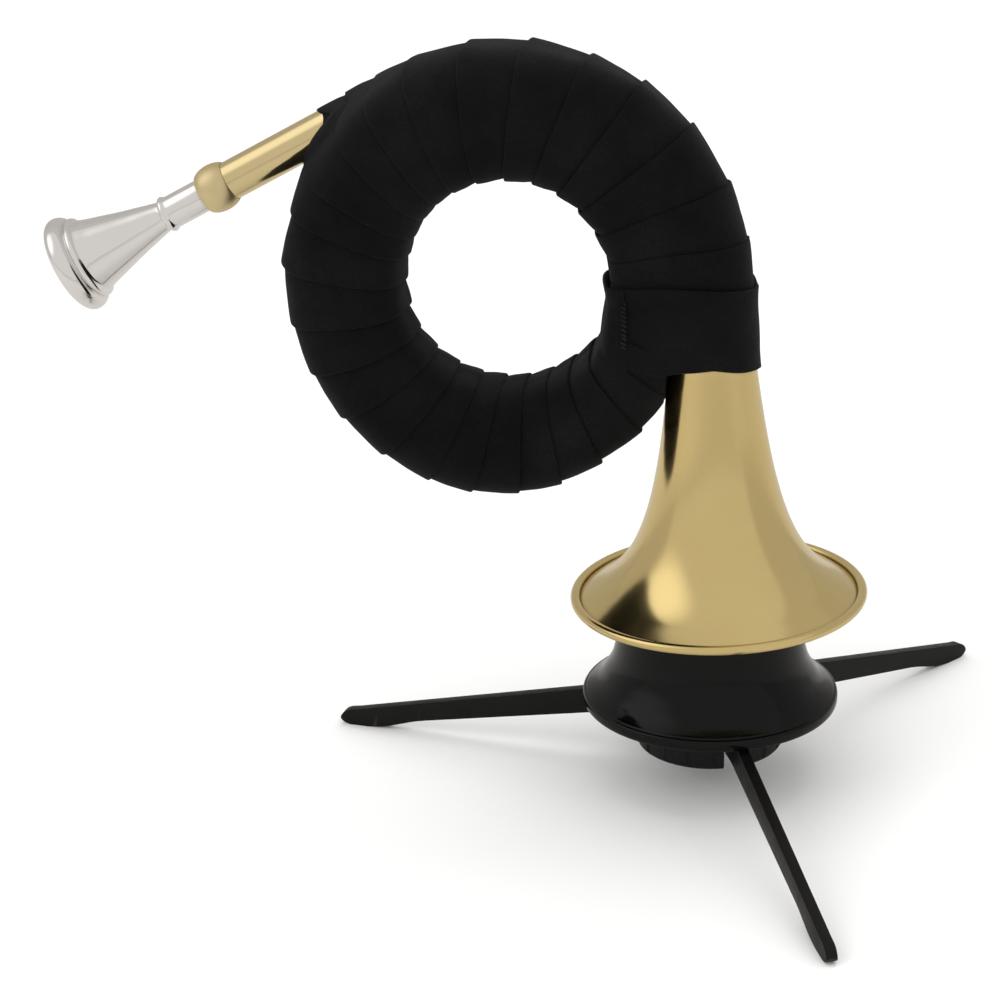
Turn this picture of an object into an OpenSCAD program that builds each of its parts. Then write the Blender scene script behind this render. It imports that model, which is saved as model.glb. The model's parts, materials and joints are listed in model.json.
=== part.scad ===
// Pocket hunting horn, coiled and wrapped in velour tape, on a folding
// tripod stand whose cone fills the bell. Millimetres, +Z up. The origin is
// the point of the floor under the stand's axis; the mouthpiece points to -X
// and the viewer stands on the -Y side, which is the front.

/* [Bell] */
// Outside radius of the bell at its rim, without the rolled bead
bell_r = 37.5; // [34:0.5:42]
// Height of the bell's rim above the floor
rim_z = 51.3; // [50:0.1:54]
// Sideways offset of the bell's rim on the stand
seat_dx = 2.0; // [0:0.1:2]
// Lean of the horn on its stand, degrees, towards the mouthpiece
seat_tilt = 1.8; // [0:0.1:2.2]
// Thickness of the bell sheet
sheet = 0.6; // [0.4:0.1:0.8]
// Radius of the rolled bead at the rim
bead_r = 1.25; // [1.1:0.05:1.4]

/* [Coil] */
// Distance from the bell's axis to the coil's centre
coil_x = 50; // [49.5:0.1:50.5]
// Height of the coil's centre above the rim
coil_z = 85.5; // [84:0.1:88]
// Wall of the coil's tubes
tube_wall = 0.45; // [0.35:0.05:0.6]
// Outside diameter of the leadpipe
lead_d = 10.1; // [9.8:0.1:10.3]
// Depth position of the leadpipe behind the bell's axis
lead_y = 14.36; // [14.3:0.02:14.5]
// Rise of the leadpipe towards the coil, degrees
lead_rise = 26.2; // [25:0.05:27]
// Height of the leadpipe's line above the coil's centre, at the ferrule
lead_lift = 24.95; // [24.5:0.05:25.5]
// Sideways place of the receiver ferrule's outer end
lead_end_x = -128.8; // [-134:0.1:-127]

/* [Wrap] */
// Number of turns of tape round the coil
turns = 24; // [20:1:28]
// Thickness of the tape
tape = 0.9; // [0.6:0.05:0.95]
// Front of the wrapped bundle
wrap_front = -11.8; // [-12.2:0.05:-11.75]
// Back of the wrapped bundle
wrap_back = 21.05; // [21:0.05:21.4]
// Corner radius of the wrapped bundle
wrap_round = 5.5; // [3:0.1:6]
// Thickness of the end band
band_t = 0.6; // [0.4:0.05:0.6]

/* [Mouthpiece] */
// Outside diameter of the mouthpiece rim
mp_rim_d = 25.9; // [25:0.1:27]
// Length of the mouthpiece from its rim to the receiver
mp_length = 41.5; // [40:0.1:43]
// Length of the shank inside the receiver
mp_shank = 19; // [15:1:22]

/* [Stand] */
// Radius of the cone's skirt
skirt_r = 33.5; // [32:0.1:35]
// Radius of the leg hub
hub_r = 19.5; // [18.8:0.1:20.2]
// Height of the hub's underside above the floor
hub_z = 8.9; // [8.5:0.1:10]
// Number of finger grooves in the hub's edge
grooves = 18; // [12:3:24]
// Distance from the axis to the tip of a leg
leg_reach = 105; // [95:0.5:115]
// Thickness of the flat legs
leg_t = 2.8; // [2:0.1:3.2]
// Compass direction of the first leg, degrees
leg_turn = 46; // [0:1:119]
// Radius of the circle of leg pivots
pivot_r = 13.5; // [13.5:0.1:14]
// Height of the leg pivots
pivot_z = 19.8; // [19.6:0.1:20]

/* [Hidden] */
$fn = 72;
gap = 0.02; // clearance between touching pieces
cut = 1; // overshoot of a cutting solid
centre_x = -coil_x;

// colours shared by several pieces
bell_brass = [0.78, 0.65, 0.36];
coil_brass = [0.76, 0.63, 0.35];
joint_brass = [0.80, 0.68, 0.40];
hub_black = [0.06, 0.06, 0.065];
leg_black = [0.09, 0.085, 0.085];
screw_steel = [0.55, 0.55, 0.57];

// outside diameters of coil bends 1 to 7, growing towards the bell, and of the tail
function bend_d(n) = [10.4, 10.8, 11.2, 11.8, 13.1, 15.2, 17.8][n - 1];
tail_d = 20.4;

// where the tubes cross the level of the coil's centre: [x, y]
lead_right = [centre_x + 43.47, lead_y];
right_1 = [centre_x + 33.47, 9.37];
right_2 = [centre_x + 33.16, -3.9];
tail_top = [0, 0];
left_1 = [centre_x - 45.86, 14.14];
left_2 = [centre_x - 34.27, 5.79];
left_3 = [centre_x - 48.33, -2.3];

// the leadpipe's line passes through this point
lead_mark_x = -121.3;
lead_mark_z = coil_z + lead_lift;
// the lead bend is tangent to that line and ends at lead_right
lead_cos = cos(lead_rise);
lead_sin = sin(lead_rise);
lead_bend_r = (lead_sin * (lead_right[0] - lead_mark_x) - lead_cos * (coil_z - lead_mark_z))
    / (1 + lead_sin);
lead_bend_x = lead_right[0] - lead_bend_r;
tangent_x = lead_bend_x + lead_bend_r * cos(90 + lead_rise);
tangent_z = coil_z + lead_bend_r * sin(90 + lead_rise);
lead_end_z = tangent_z - (tangent_x - lead_end_x) * tan(lead_rise);
lead_len = (tangent_x - lead_end_x) / lead_cos;
lead_wall = 0.5;

// ---------- shared shapes ----------

// places the horn on the stand
module horn() translate([seat_dx, 0, rim_z]) rotate([0, -seat_tilt, 0]) children();

// frame of the leadpipe: origin at the receiver's outer end, +X along the pipe
module on_lead() translate([lead_end_x, lead_y, lead_end_z]) rotate([0, -lead_rise, 0]) children();

// upright cylinder with a bore that starts below it and is bore_h long
module tube(r, bore_r, h, bore_h) difference() {
    cylinder(r = r, h = h);
    translate([0, 0, -cut]) cylinder(r = bore_r, h = bore_h);
}

module tube_section(d, wall) difference() {
    circle(d = d, $fn = 40);
    circle(d = d - 2 * wall, $fn = 40);
}

// sweeps a section in an upright plane through two points at the coil's level;
// angles run from the first point (0) over the top (90), or under for up = false,
// to the second (180)
module sweep(from, to, start, end, up) {
    middle = (from + to) / 2;
    radius = norm(from - to) / 2;
    yaw = atan2(from[1] - to[1], from[0] - to[0]);
    translate([middle[0], middle[1], coil_z]) rotate([0, 0, yaw])
        rotate([up ? 90 : -90, 0, 0]) rotate([0, 0, start])
            rotate_extrude(angle = end - start, $fn = 96)
                translate([radius, 0]) children();
}

// a bend of tube, by default a half circle just short of its neighbours
module bend(from, to, d, start = 0.1, end = 179.9, up = true)
    sweep(from, to, start, end, up) tube_section(d, tube_wall);

// room for the last third of a bend, used to cut clearances
module bend_room(from, to, d, up = true)
    sweep(from, to, 120, 179.9, up) circle(d = d + 2 * gap, $fn = 40);

module rounded(x0, x1, y0, y1, r) translate([x0 + r, y0 + r]) offset(r = r, $fn = 24)
    square([x1 - x0 - 2 * r, y1 - y0 - 2 * r]);

// ---------- bell ----------

neck_z = 68; // top of the bell piece above the rim
bell_steps = 44;
bead_x = bell_r - 0.2; // radius of the bead's centre line

// outside radius of the bell at a height above the rim
function bell_out(z) = (110.47 / pow(z + 7.71, 0.5313) + 0.18) * bell_r / 37.5
    - 0.00015 * z * z;
// sheet thickness, nearly doubled at the rim
function bell_wall(z) = sheet * (1 + 0.9 * exp(-z / 2));
// heights of the outline's points, closest together near the rim
function bell_height(i) = 0.15 + (neck_z - 6 - 0.15) * pow(i / bell_steps, 1.9);

module bell() {
    heights = [for (i = [0:bell_steps]) bell_height(i)];
    outer = [for (z = heights) [bell_out(z), z]];
    inner = [for (i = [bell_steps:-1:0])
        [bell_out(heights[i]) - bell_wall(heights[i]), heights[i]]];
    neck = [[10.95, neck_z - 4], [10.85, neck_z], [10.28, neck_z], [10.3, neck_z - 5]];
    color(bell_brass) horn() union() {
        rotate_extrude($fn = 128) difference() {
            polygon(concat([[bell_r - 0.9, -0.9]], outer, neck, inner, [[bell_r - 1.9, -0.9]]));
            translate([bead_x, 0]) circle(r = bead_r - 0.2, $fn = 40);
        }
        // the sheet rolled round the wire, left open below
        rotate_extrude($fn = 128) translate([bead_x, 0]) difference() {
            circle(r = bead_r, $fn = 40);
            circle(r = bead_r - 0.45, $fn = 40);
            polygon([[0, 0], [-0.9, -2], [0.2, -2]]);
        }
    }
}

module rim_wire() color([0.70, 0.58, 0.32]) horn()
    rotate_extrude($fn = 128) translate([bead_x, 0]) circle(r = bead_r - 0.5, $fn = 32);

// straight tube from inside the bell's neck up to the coil
module bell_tail() {
    bottom_z = neck_z - 5.5;
    color(bell_brass) horn() translate([0, 0, bottom_z])
        tube(tail_d / 2, tail_d / 2 - tube_wall, coil_z - bottom_z - gap, 40, $fn = 96);
}

// ---------- leadpipe and mouthpiece ----------

module leadpipe() {
    start = 1.2; // just past the ferrule's inner shoulder
    length = lead_len - start - 0.05;
    color([0.80, 0.67, 0.38]) horn() on_lead() translate([start, 0, 0]) rotate([0, 90, 0])
        tube(lead_d / 2, lead_d / 2 - lead_wall, length, length + 2 * cut);
}

// from the end of the leadpipe's straight part to the first coil bend
module lead_bend() color(bell_brass) horn()
    translate([lead_bend_x, lead_y, coil_z]) rotate([90, 0, 0]) rotate([0, 0, 0.1])
        rotate_extrude(angle = 90 + lead_rise - 0.15, $fn = 96)
            translate([lead_bend_r, 0]) tube_section(lead_d, lead_wall);

module receiver_ferrule() {
    bore_r = 4.4;
    socket_r = lead_d / 2 + gap;
    shoulder = 1.15;
    length = 8.0;
    // radius, distance along the pipe
    profile = [
        [bore_r, 0], [4.8, 0], [5.3, 0.45], [5.75, 1.25], [6.1, 2.3], [6.3, 3.4], [6.35, 4.3],
        [6.25, 5.4], [5.95, 6.6], [5.55, 7.5], [5.2, length],
        [socket_r, length], [socket_r, shoulder], [bore_r, shoulder]];
    color([0.80, 0.70, 0.48]) horn() on_lead()
        rotate([0, 90, 0]) rotate_extrude($fn = 96) polygon(profile);
}

// profiles hold radius, distance from the rim face
module mouthpiece() {
    round_r = mp_rim_d / 2 - 2.5; // centre line of the rounded rim
    stretch = mp_length / 41.5;
    rim = concat(
        [for (a = [0:15:90]) [round_r + 2.5 * sin(a), 2.2 - 2.2 * cos(a)]],
        [for (a = [105:15:165]) [round_r + 2.5 * sin(a), 2.2 - 3.1 * cos(a)]]);
    outside = [
        [10.75, 5.4], [10.7, 5.7], [10.95, 6.1], [11, 6.5], [10.8, 6.95], [10.3, 7.25],
        [9.85, 7.5], [8.95, 11 * stretch], [7.65, 15.8 * stretch], [6.3, 20.8 * stretch],
        [4.95, 25.8 * stretch], [4.0, 29.4 * stretch], [4.15, 29.75 * stretch],
        [4.65, 30.05 * stretch], [4.85, 30.7 * stretch], [4.65, 31.35 * stretch],
        [4.35, 31.7 * stretch], [4.3, 32.4 * stretch], [4.3, mp_length - 0.4],
        [4.1, mp_length + 1], [3.6, mp_length + mp_shank]];
    bore_and_cup = [
        [2.7, mp_length + mp_shank], [2.2, 32 * stretch], [2.1, 28.5 * stretch],
        [3.1, 24 * stretch], [5.0, 16.5 * stretch], [7.2, 9 * stretch], [8.4, 3.8], [9.2, 1.4]];
    color([0.82, 0.82, 0.84]) horn() on_lead() translate([-mp_length, 0, 0])
        rotate([0, 90, 0]) rotate_extrude($fn = 128)
            polygon(concat(rim, outside, bore_and_cup));
}

// ---------- coil ----------

module coil_bend_1() color(coil_brass) horn() bend(lead_right, left_1, bend_d(1), up = false);
module coil_bend_2() color(coil_brass) horn() bend(right_1, left_1, bend_d(2));
module coil_bend_3() color(coil_brass) horn() bend(right_1, left_2, bend_d(3), up = false);
module coil_bend_4() color(coil_brass) horn() bend(right_2, left_2, bend_d(4));
module coil_bend_5() color(coil_brass) horn() bend(right_2, left_3, bend_d(5), up = false);
// the last half circle is made of two quarters
module coil_bend_6() color(coil_brass) horn() bend(tail_top, left_3, bend_d(6), start = 90.1);
module coil_bend_7() color(coil_brass) horn() bend(tail_top, left_3, bend_d(7), end = 89.9);

// short sleeves over the joints, each sized by the wider bend it covers
module coil_ferrules() {
    length = 4;
    // joint, number of the bend
    joints = [[right_1, 3], [right_2, 5], [left_1, 2], [left_2, 4], [left_3, 6]];
    color(joint_brass) horn() for (joint = joints) {
        radius = bend_d(joint[1]) / 2;
        translate([joint[0][0], joint[0][1], coil_z - length / 2])
            tube(radius + 0.3, radius + 0.1, length, length + 2 * cut);
    }
}

// a front-to-back stay, lift above the coil's centre; the children are cut away
module brace(lift) difference() {
    translate([centre_x - 45, 10.5, coil_z + lift]) rotate([90, 0, 0]) cylinder(r = 1.6, h = 9);
    children();
}

// stays soldered between neighbouring turns
module coil_braces() color(joint_brass) horn() {
    brace(9) {
        bend_room(right_1, left_1, bend_d(2));
        bend_room(tail_top, left_3, bend_d(6));
    }
    brace(-9) {
        bend_room(lead_right, left_1, bend_d(1), up = false);
        bend_room(right_2, left_3, bend_d(5), up = false);
    }
}

// ---------- wrap ----------

// angles round the coil count from +X, anticlockwise seen from the front
first_a = 329; // where the wrap starts; it runs down to 0
pitch = first_a / turns;

// the hole through the wrapped coil, and its offset from the coil's centre
hole_r = 26.1;
hole_wall = 0.8;
hole_dx = -0.83;
hole_dz = -1.16;

// angle, outside radius of the wrapped coil
wrap_radii = [[0, 60.6], [30, 60.05], [60, 59.9], [90, 59.8], [112, 60], [128, 61.3],
    [143, 60.4], [160, 58.2], [190, 57.2], [225, 57.6], [253, 57.8], [268, 56.4],
    [284, 54.6], [299, 52.2], [310, 51], [330, 51], [360, 51]];
function wrap_in(a) = hole_r + hole_dx * cos(a) + hole_dz * sin(a);
function turn_angle(i) = first_a - (i + 0.5) * pitch;

module wrap_turn(i) {
    start = first_a - (i + 1) * pitch;
    // every other turn stands slightly proud
    outer = lookup(turn_angle(i), wrap_radii) + (i % 2) * 0.12;
    inner = wrap_in(turn_angle(i));
    translate([centre_x - 0.1, 0, coil_z]) rotate([90, 0, 0]) rotate([0, 0, start + 0.06])
        rotate_extrude(angle = pitch - 0.12, $fn = 96) difference() {
            rounded(inner, outer, -wrap_back, -wrap_front, wrap_round);
            rounded(inner + tape, outer - tape, -wrap_back + tape, -wrap_front - tape,
                wrap_round - tape);
        }
}

// the room the leadpipe takes where it leaves the wrap
module lead_room() on_lead() rotate([0, 90, 0]) cylinder(d = lead_d + 0.3, h = lead_len);

module wrap_tape() color([0.07, 0.07, 0.075]) horn() {
    difference() {
        wrap_turn(0);
        // room for the bell's neck beside the first turn
        translate([0, 0, 40]) cylinder(r1 = 16, r2 = 11.9, h = 22);
    }
    for (i = [1:turns - 1])
        if (turn_angle(i) > 118 && turn_angle(i) < 164) difference() {
            wrap_turn(i);
            lead_room();
        }
        else wrap_turn(i);
}

// the wide last turn round the neck of the bell
band_bottom = 61;
band_top = coil_z - 0.25;
band_front = wrap_front - 0.3;
band_back = wrap_back + 0.2;

module band_plan(inset)
    rounded(-40 + inset, 12 - inset, band_front + inset, band_back - inset, 7 - inset);

module hole_cut(r) translate([centre_x + hole_dx, 60, coil_z + hole_dz]) rotate([90, 0, 0])
    cylinder(r = r, h = 120, $fn = 96);

module end_band() color([0.08, 0.08, 0.085]) horn() difference() {
    translate([0, 0, band_bottom]) linear_extrude(band_top - band_bottom) band_plan(0);
    // hollow, but for a wall round the coil's hole
    difference() {
        translate([0, 0, band_bottom - cut])
            linear_extrude(band_top - band_bottom + 2 * cut) band_plan(band_t);
        hole_cut(hole_r + hole_wall);
    }
    hole_cut(hole_r);
    // the first turn of the wrap starts along this slanting edge
    translate([centre_x, -30, coil_z]) rotate([0, 360 - first_a - 0.3, 0])
        translate([0, 0, -80]) cube([90, 80, 80]);
}

// zigzag of stitches up the band's front face
module band_stitching() {
    stitch_r = 0.3;
    stitch_len = 2.6;
    slant = 18;
    color([0.45, 0.45, 0.46]) horn() for (i = [0:8])
        translate([-21.2 + 0.12 * i, band_front - stitch_r - gap, band_bottom + 6.4 + 1.7 * i])
            rotate([0, 90 + (i % 2 == 0 ? slant : -slant), 0])
                translate([0, 0, -stitch_len / 2]) cylinder(r = stitch_r, h = stitch_len, $fn = 16);
}

// ---------- stand ----------

// hub cap and the ring of screws that hold it, midway between the legs
cap_z = 25.3;
cap_t = 1.9;
cap_top = cap_z + cap_t;
cap_screw_turn = leg_turn + 60;
cap_screw_x = 12.5;

// centre screw, heights from the hub's underside
head_z = 0.6;
head_h = 2.6;

// three copies round the axis, the first turned by the given angle
module thirds(turn) for (i = [0:2]) rotate([0, 0, turn + 120 * i]) children();

// a cylinder across a leg's pivot, in the leg's frame
module pivot_cylinder(r, length) translate([pivot_r, length / 2, pivot_z]) rotate([90, 0, 0])
    cylinder(r = r, h = length, $fn = 48);

// radius, height: the inside from the bore outwards, the skirt's edge, the
// outside up to the rounded tip, then the blind bore for the insert
cone_profile = [
    [4, 27.6], [6.5, 27.6], [6.5, 56], [14, 56], [18, 52.5], [20, 46], [21.4, 39], [22.6, 33.5],
    [24.6, 29.2], [27.6, 25.6], [30.4, 23], [30.9, 21.3],
    [skirt_r - 0.6, 21.1], [skirt_r - 0.15, 21.35], [skirt_r + 0.05, 21.9],
    [skirt_r + 0.1, 23.2], [skirt_r - 0.1, 23.9], [skirt_r - 0.5, 24.2],
    [skirt_r - 0.85, 24.15], [skirt_r - 1.05, 24.45],
    [31.2, 25.25], [29.8, 26.5], [28.5, 28.1], [27.4, 30], [26.5, 31.8], [25.7, 33.8],
    [25.05, 36.2], [24.55, 39], [24.1, 42], [23.7, 45], [23.2, 48.5], [22.6, 52], [21.7, 56],
    [20.6, 60], [19.3, 64], [17.7, 68], [16.2, 72], [15, 76], [13.9, 80], [12.8, 85],
    [11.7, 90], [10.8, 94], [10, 96.2], [8.6, 97.5], [6.8, 98], [0, 98],
    [0, 46], [4, 46]];

module bell_cone() color([0.05, 0.05, 0.055]) rotate_extrude($fn = 128) polygon(cone_profile);

module threaded_insert() color([0.72, 0.60, 0.34]) translate([0, 0, 27.8])
    tube(3.97, 2.05, 13, 15);

module hub_cap() color(hub_black) difference() {
    translate([0, 0, cap_z]) cylinder(r = hub_r - 2.2, h = cap_t);
    translate([0, 0, 20]) cylinder(r = 2.2, h = 12);
    thirds(cap_screw_turn) translate([cap_screw_x, 0, 20]) cylinder(r = 0.95, h = 12, $fn = 32);
}

module cap_screws() color(screw_steel) thirds(cap_screw_turn)
    translate([cap_screw_x, 0, 0]) difference() {
        union() {
            translate([0, 0, 19]) cylinder(r = 0.8, h = 8.3, $fn = 32);
            translate([0, 0, cap_top + gap]) cylinder(r = 1.6, h = 0.9, $fn = 32);
        }
        // driver slot
        translate([-2, -0.2, cap_top + 0.6]) cube([4, 0.4, 1]);
    }

// a leg in its own upright plane: distance from the axis, height
foot_x = leg_reach - 5.5;
leg_outline = [
    // inner end and top of the pivot
    [pivot_r - 4.5, pivot_z], [pivot_r - 4.5, pivot_z + 2.8], [pivot_r - 2.4, 24.1],
    [pivot_r, 24.3],
    // tip
    [leg_reach - 4.5, 4.45], [leg_reach - 2.9, 4.15], [leg_reach - 1.5, 3.55],
    [leg_reach - 0.5, 2.7], [leg_reach, 1.7], [leg_reach - 0.3, 0.9], [leg_reach - 1.1, 0.3],
    // foot, then the curve up to the underside
    [foot_x + 3.0, 0], [foot_x - 3.5, 0], [foot_x - 6, 0.3], [foot_x - 8.5, 0.75],
    [foot_x - 11, 1.35], [foot_x - 13.5, 2.1], [foot_x - 16.5, 3.05], [foot_x - 19, 3.7],
    // below the pivot
    [pivot_r + 1.5, pivot_z - 3.85], [pivot_r - 1.2, pivot_z - 4.0],
    [pivot_r - 3, pivot_z - 3], [pivot_r - 4.1, pivot_z - 1.5]];

module leg(turn) rotate([0, 0, turn]) difference() {
    translate([0, leg_t / 2, 0]) rotate([90, 0, 0]) linear_extrude(leg_t) polygon(leg_outline);
    pivot_cylinder(1.06, 10);
}
module right_leg() color(leg_black) leg(leg_turn);
module left_leg() color(leg_black) leg(leg_turn + 120);
module front_leg() color(leg_black) leg(leg_turn + 240);

module leg_hub() {
    slot_gap = 0.15;
    groove_pitch = 360 / grooves;
    // radius, height
    profile = [[0, hub_z], [hub_r - 1.3, hub_z], [hub_r - 0.5, hub_z + 0.35],
        [hub_r - 0.1, hub_z + 1], [hub_r, hub_z + 2.4], [hub_r, 23.4], [hub_r - 2, 25.2],
        [0, 25.2]];
    color(hub_black) difference() {
        rotate_extrude($fn = 96) polygon(profile);
        // screw bore and its counterbore
        translate([0, 0, hub_z - cut]) cylinder(r = 2.1, h = 20);
        translate([0, 0, hub_z - cut]) cylinder(r = 4.4, h = 5);
        thirds(leg_turn) {
            // slot for the leg
            translate([pivot_r - 4.6, -leg_t / 2 - slot_gap, hub_z - cut])
                cube([20, leg_t + 2 * slot_gap, 20]);
            // holes for its pin
            pivot_cylinder(1.02, 12.4);
            // blind hole for a cap screw
            rotate([0, 0, 60]) translate([cap_screw_x, 0, 18.4])
                cylinder(r = 0.82, h = 8, $fn = 32);
        }
        // finger grooves
        for (i = [0:grooves - 1]) rotate([0, 0, leg_turn + (i + 0.5) * groove_pitch])
            translate([hub_r + 1.15, 0, hub_z - cut]) cylinder(r = 1.7, h = 8, $fn = 32);
    }
}

module leg_pins() color([0.60, 0.60, 0.62]) thirds(leg_turn) pivot_cylinder(1, 12);

module centre_screw() {
    shank_z = hub_z + 3;
    color(screw_steel) difference() {
        union() {
            translate([0, 0, hub_z + head_z]) cylinder(r = 3.9, h = head_h);
            translate([0, 0, shank_z]) cylinder(r = 2, h = 40.4 - shank_z);
        }
        // hexagon socket
        translate([0, 0, hub_z]) cylinder(r = 1.7, h = 2.4, $fn = 6);
    }
}

module screw_washer() color([0.65, 0.65, 0.66])
    translate([0, 0, hub_z + head_z + head_h + gap]) tube(4.2, 2.08, 0.75, 3);

mouthpiece();
receiver_ferrule();
leadpipe();
lead_bend();
coil_bend_1();
coil_bend_2();
coil_bend_3();
coil_bend_4();
coil_bend_5();
coil_bend_6();
coil_bend_7();
coil_ferrules();
coil_braces();
bell_tail();
bell();
rim_wire();
wrap_tape();
end_band();
band_stitching();
bell_cone();
threaded_insert();
hub_cap();
cap_screws();
leg_hub();
leg_pins();
centre_screw();
screw_washer();
front_leg();
left_leg();
right_leg();
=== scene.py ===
"""A small horn with a taped coil, standing bell down on a cone with three folding legs.

World: metres, +Z up, the front towards -Y. Shapes are drawn in millimetres, in three frames:
the world (stand), HORN (origin at the bell's rim, +Z up the bell's axis, the coil towards -X)
and LEAD (origin at the receiver's mouth, +Z along the leadpipe, away from the mouthpiece).
"""
import bpy, bmesh, json, math
import numpy as np
from mathutils import Matrix, Vector


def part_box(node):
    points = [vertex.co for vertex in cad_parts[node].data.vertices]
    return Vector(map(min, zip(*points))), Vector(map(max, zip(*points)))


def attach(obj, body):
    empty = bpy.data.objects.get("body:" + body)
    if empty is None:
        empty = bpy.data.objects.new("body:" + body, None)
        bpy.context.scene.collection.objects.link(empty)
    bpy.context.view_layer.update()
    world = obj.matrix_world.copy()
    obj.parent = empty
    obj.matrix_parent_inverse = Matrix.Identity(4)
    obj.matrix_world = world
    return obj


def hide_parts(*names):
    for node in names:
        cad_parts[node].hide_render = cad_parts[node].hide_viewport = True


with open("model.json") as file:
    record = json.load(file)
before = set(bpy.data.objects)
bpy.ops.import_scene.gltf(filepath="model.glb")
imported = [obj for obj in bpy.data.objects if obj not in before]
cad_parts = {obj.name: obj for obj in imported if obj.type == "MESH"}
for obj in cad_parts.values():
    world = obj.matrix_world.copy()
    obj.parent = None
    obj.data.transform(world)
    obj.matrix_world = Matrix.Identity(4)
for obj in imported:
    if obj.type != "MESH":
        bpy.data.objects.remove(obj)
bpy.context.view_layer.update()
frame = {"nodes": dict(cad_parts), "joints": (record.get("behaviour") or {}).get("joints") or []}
NODES = frame["nodes"]
JOINTS = {joint["name"]: joint for joint in frame["joints"]}
MM = 0.001


# ---------------------------------------------------------------- frames
def box_centre(node):
    low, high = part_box(node)
    return (low + high) / 2


def joint_axis(name):
    return Vector(JOINTS[name]["axis"]).normalized()


lift = joint_axis("horn_lift")
tilt = math.atan2(-lift.x, lift.z)
HORN = Matrix.Translation(box_centre("rim_wire")) @ Matrix.Rotation(-tilt, 4, "Y")

FERRULE_HALF = 0.004            # metres, from the ferrule's centre to the receiver's mouth
pipe_way = -joint_axis("mouthpiece_pull")
LEAD = (Matrix.Translation(box_centre("receiver_ferrule") - pipe_way * FERRULE_HALF)
        @ pipe_way.to_track_quat("Z", "Y").to_matrix().to_4x4())


# ---------------------------------------------------------------- mesh helpers
def link_object(name, mesh):
    ob = bpy.data.objects.new(name, mesh)
    bpy.context.scene.collection.objects.link(ob)
    return ob


def shade_smooth(mesh, sharp_angle=None):
    """Smooth shading, except at edges sharper than sharp_angle degrees."""
    mesh.polygons.foreach_set("use_smooth", [True] * len(mesh.polygons))
    if sharp_angle is not None:
        mesh.set_sharp_from_angle(angle=math.radians(sharp_angle))


def build(name, verts, faces, place, sharp_angle):
    """A mesh object from points in millimetres, moved by the matrix place if there is one."""
    mesh = bpy.data.meshes.new(name)
    verts = np.asarray(verts, float) * MM
    mesh.from_pydata(verts.tolist(), [], [tuple(int(i) for i in face) for face in faces])
    if place is not None:
        mesh.transform(place)
    bm = bmesh.new()
    bm.from_mesh(mesh)
    bmesh.ops.recalc_face_normals(bm, faces=bm.faces)
    bm.to_mesh(mesh)
    bm.free()
    shade_smooth(mesh, sharp_angle)
    mesh.update()
    return link_object(name, mesh)


def lathe(name, profile, segments, place, sharp_angle):
    """Turns a closed outline of (radius, height) round the Z axis."""
    verts, rings = [], []
    for radius, z in profile:
        if radius < 1e-6:
            rings.append([len(verts)] * segments)
            verts.append((0, 0, z))
        else:
            rings.append(list(range(len(verts), len(verts) + segments)))
            for k in range(segments):
                angle = 2 * math.pi * k / segments
                verts.append((radius * math.cos(angle), radius * math.sin(angle), z))
    faces = []
    for lower, upper in zip(rings, rings[1:] + rings[:1]):
        if lower[0] == lower[1] and upper[0] == upper[1]:
            continue            # both ends lie on the axis
        for k in range(segments):
            k2 = (k + 1) % segments
            corners = [lower[k], lower[k2], upper[k2], upper[k]]
            corners = [v for i, v in enumerate(corners) if v not in corners[:i]]
            faces.append(corners)
    return build(name, verts, faces, place, sharp_angle)


def sweep(name, sections):
    """A capped solid in the HORN frame; sections is rows x columns x 3, each row a closed loop."""
    rows, cols, _ = sections.shape
    faces = []
    for i in range(rows - 1):
        a, b = i * cols, (i + 1) * cols
        for j in range(cols):
            j2 = (j + 1) % cols
            faces.append((a + j, a + j2, b + j2, b + j))
    verts = np.vstack([sections.reshape(-1, 3), sections[0].mean(0)[None],
                       sections[-1].mean(0)[None]])
    last = (rows - 1) * cols
    for j in range(cols):
        j2 = (j + 1) % cols
        faces.append((j2, j, rows * cols))
        faces.append((last + j, last + j2, rows * cols + 1))
    return build(name, verts, faces, HORN, sharp_angle=55)


def spline(points, steps):
    """A Catmull-Rom curve through the points, with the given steps between each two."""
    p = np.asarray(points, float)
    p = np.vstack([2 * p[0] - p[1], p, 2 * p[-1] - p[-2]])
    curve = []
    for i in range(1, len(p) - 2):
        for k in range(steps):
            t = k / steps
            curve.append(0.5 * ((2 * p[i]) + (-p[i - 1] + p[i + 1]) * t
                                + (2 * p[i - 1] - 5 * p[i] + 4 * p[i + 1] - p[i + 2]) * t * t
                                + (-p[i - 1] + 3 * p[i] - 3 * p[i + 1] + p[i + 2]) * t ** 3))
    curve.append(p[-2])
    return [tuple(point) for point in curve]


def smooth_step(x):
    x = np.clip(x, 0, 1)
    return x * x * (3 - 2 * x)


def look_up(x, stations):
    """Straight-line interpolation in a table of (place, value)."""
    return np.interp(x, *zip(*stations))


def wobble(x, seed):
    """An uneven wave of about -1 to 1."""
    return (np.sin(1.7 * x + seed * 2.1) + 0.6 * np.sin(3.1 * x + seed * 5.3)
            + 0.4 * np.sin(5.7 * x + seed)) / 2


# ---------------------------------------------------------------- shader helpers
def set_inputs(tree, node, values):
    """Links each input to a socket or sets its value; colours get alpha 1."""
    for key, value in values.items():
        socket = node.inputs[key]
        if isinstance(value, bpy.types.NodeSocket):
            tree.links.new(value, socket)
        else:
            socket.default_value = (*value, 1) if socket.type == "RGBA" else value


def add_node(tree, kind, inputs, **settings):
    node = tree.nodes.new(kind)
    for key, value in settings.items():
        setattr(node, key, value)
    set_inputs(tree, node, inputs)
    return node


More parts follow.
